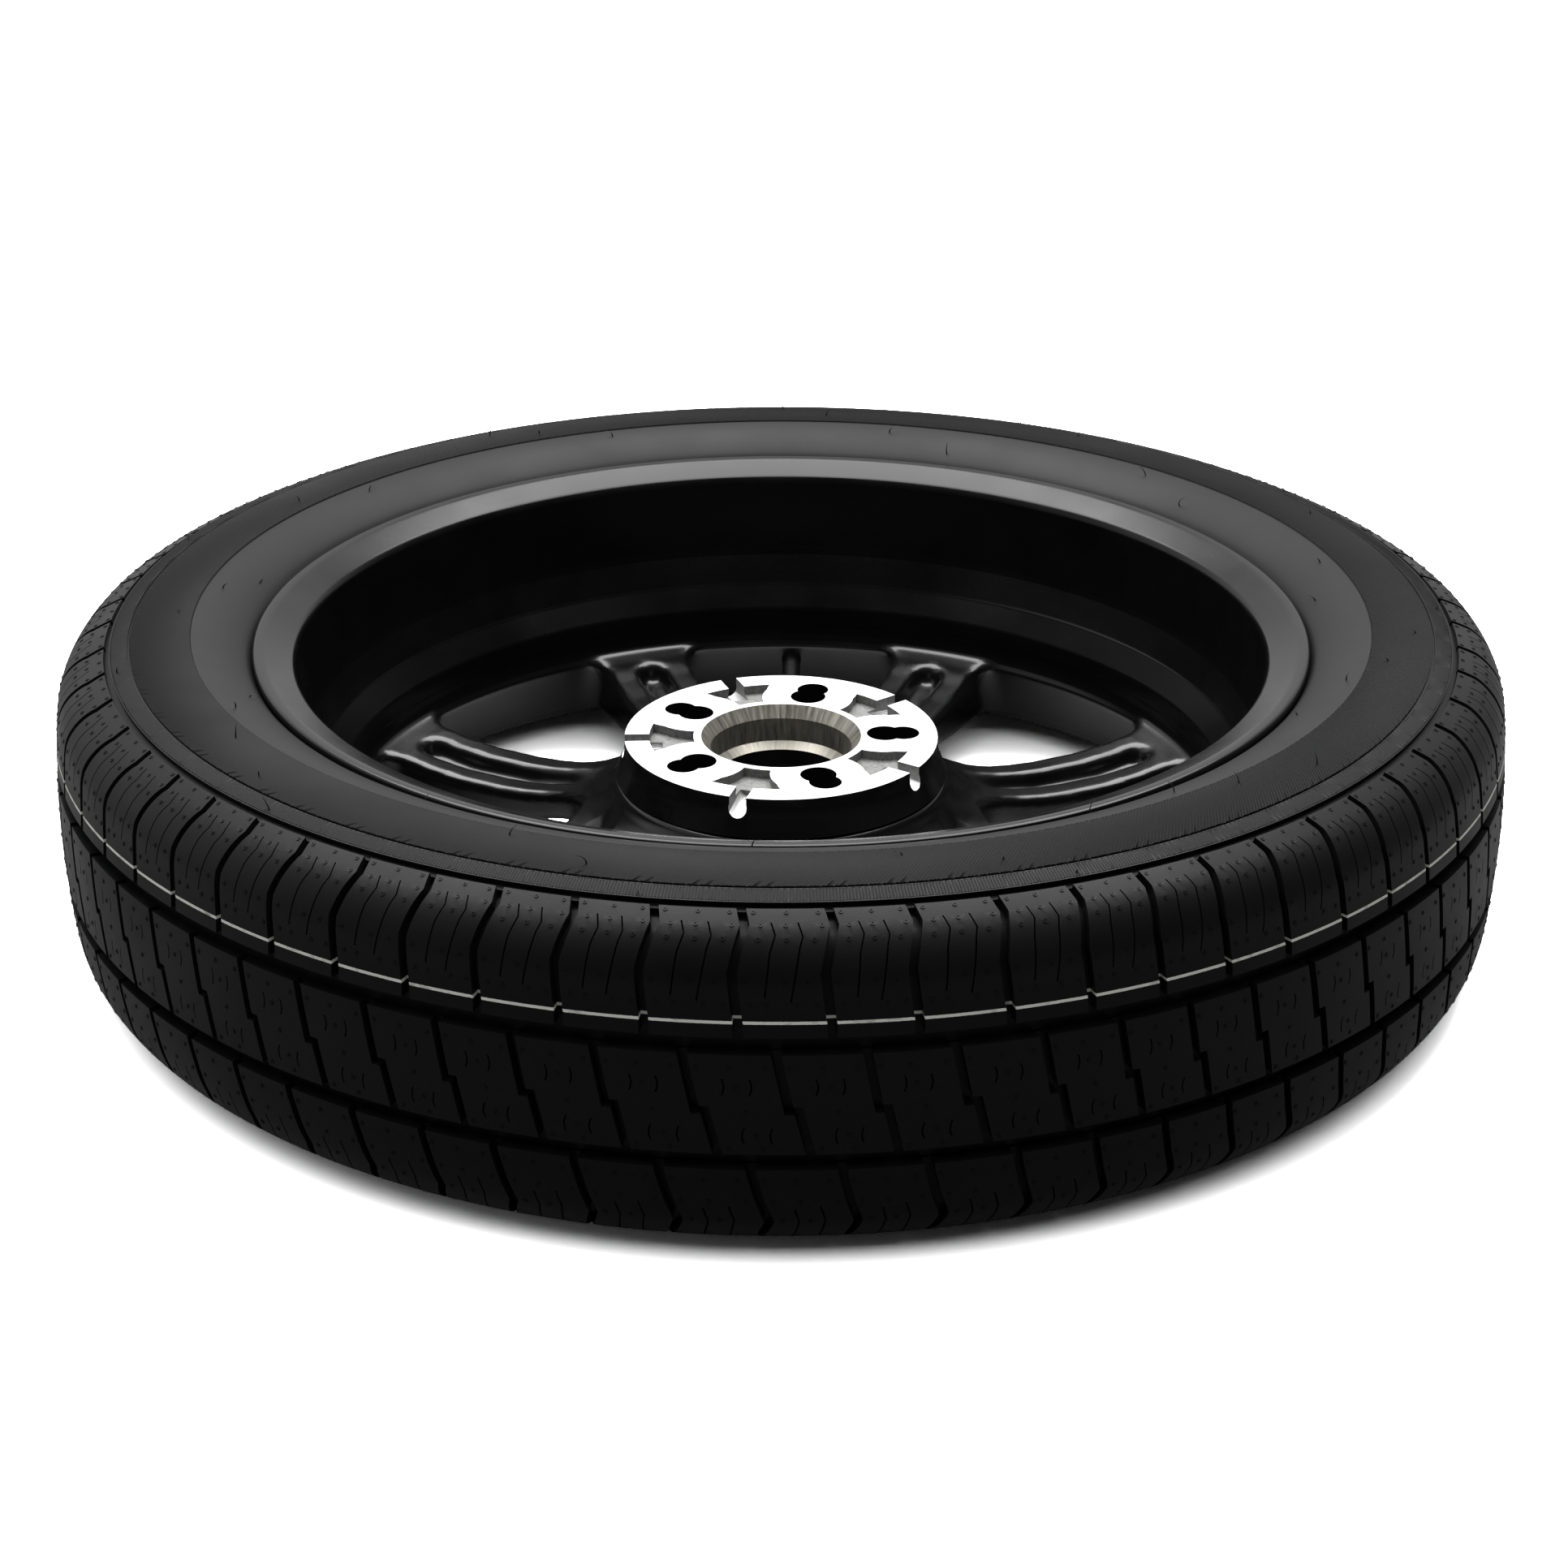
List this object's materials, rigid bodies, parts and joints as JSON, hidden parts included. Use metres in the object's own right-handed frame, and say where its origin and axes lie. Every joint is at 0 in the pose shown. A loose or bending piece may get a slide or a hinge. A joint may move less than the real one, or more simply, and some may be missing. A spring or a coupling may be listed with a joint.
{
  "type": "temporary spare wheel",
  "caption": "Narrow temporary spare wheel: a radial tyre with a grooved tread on a black spoked cast wheel with a machined mounting pad and a snap-in valve.",
  "frame": {"origin": "centre of the footprint on the ground, on the wheel axis, with the outer face down", "axes": "+Z along the wheel axis, out of the mounting side; +X and +Y lie across the wheel, and the valve is near +Y"},
  "size_m": [0.753, 0.753, 0.175],
  "materials": {
    "tyre": "moulded black rubber with a thin pale line round the tread",
    "wheel": "satin black paint on cast aluminium, with a bare machined mounting pad",
    "valve_rubber": "moulded rubber",
    "brass": "turned brass",
    "gasket": "white plastic",
    "seal": "soft rubber",
    "spring_steel": "bright wire",
    "cap": "black plastic"
  },
  "bodies": {
    "root": {"tyre": "tyre", "wheel": "wheel", "valve_rubber": "valve_rubber", "valve_stem": "brass", "core_body": "brass", "core_gasket": "gasket", "core_spring": "spring_steel"},
    "core": {"core_pin": "brass", "core_cup_seal": "seal"},
    "cap": {"valve_cap": "cap", "cap_seal": "seal"}
  },
  "joints": [
    {"name": "cap_off", "type": "slide", "parent": "root", "child": "cap", "axis": [-0.0182, -0.6944, -0.7193], "range_m": [0, 0.012]},
    {"name": "core_press", "type": "slide", "parent": "root", "child": "core", "axis": [0.0182, 0.6944, 0.7193], "range_m": [0, 0.0012], "stiffness_N_per_m": 300, "springref_m": -0.002, "deforming": ["core_spring"]}
  ]
}
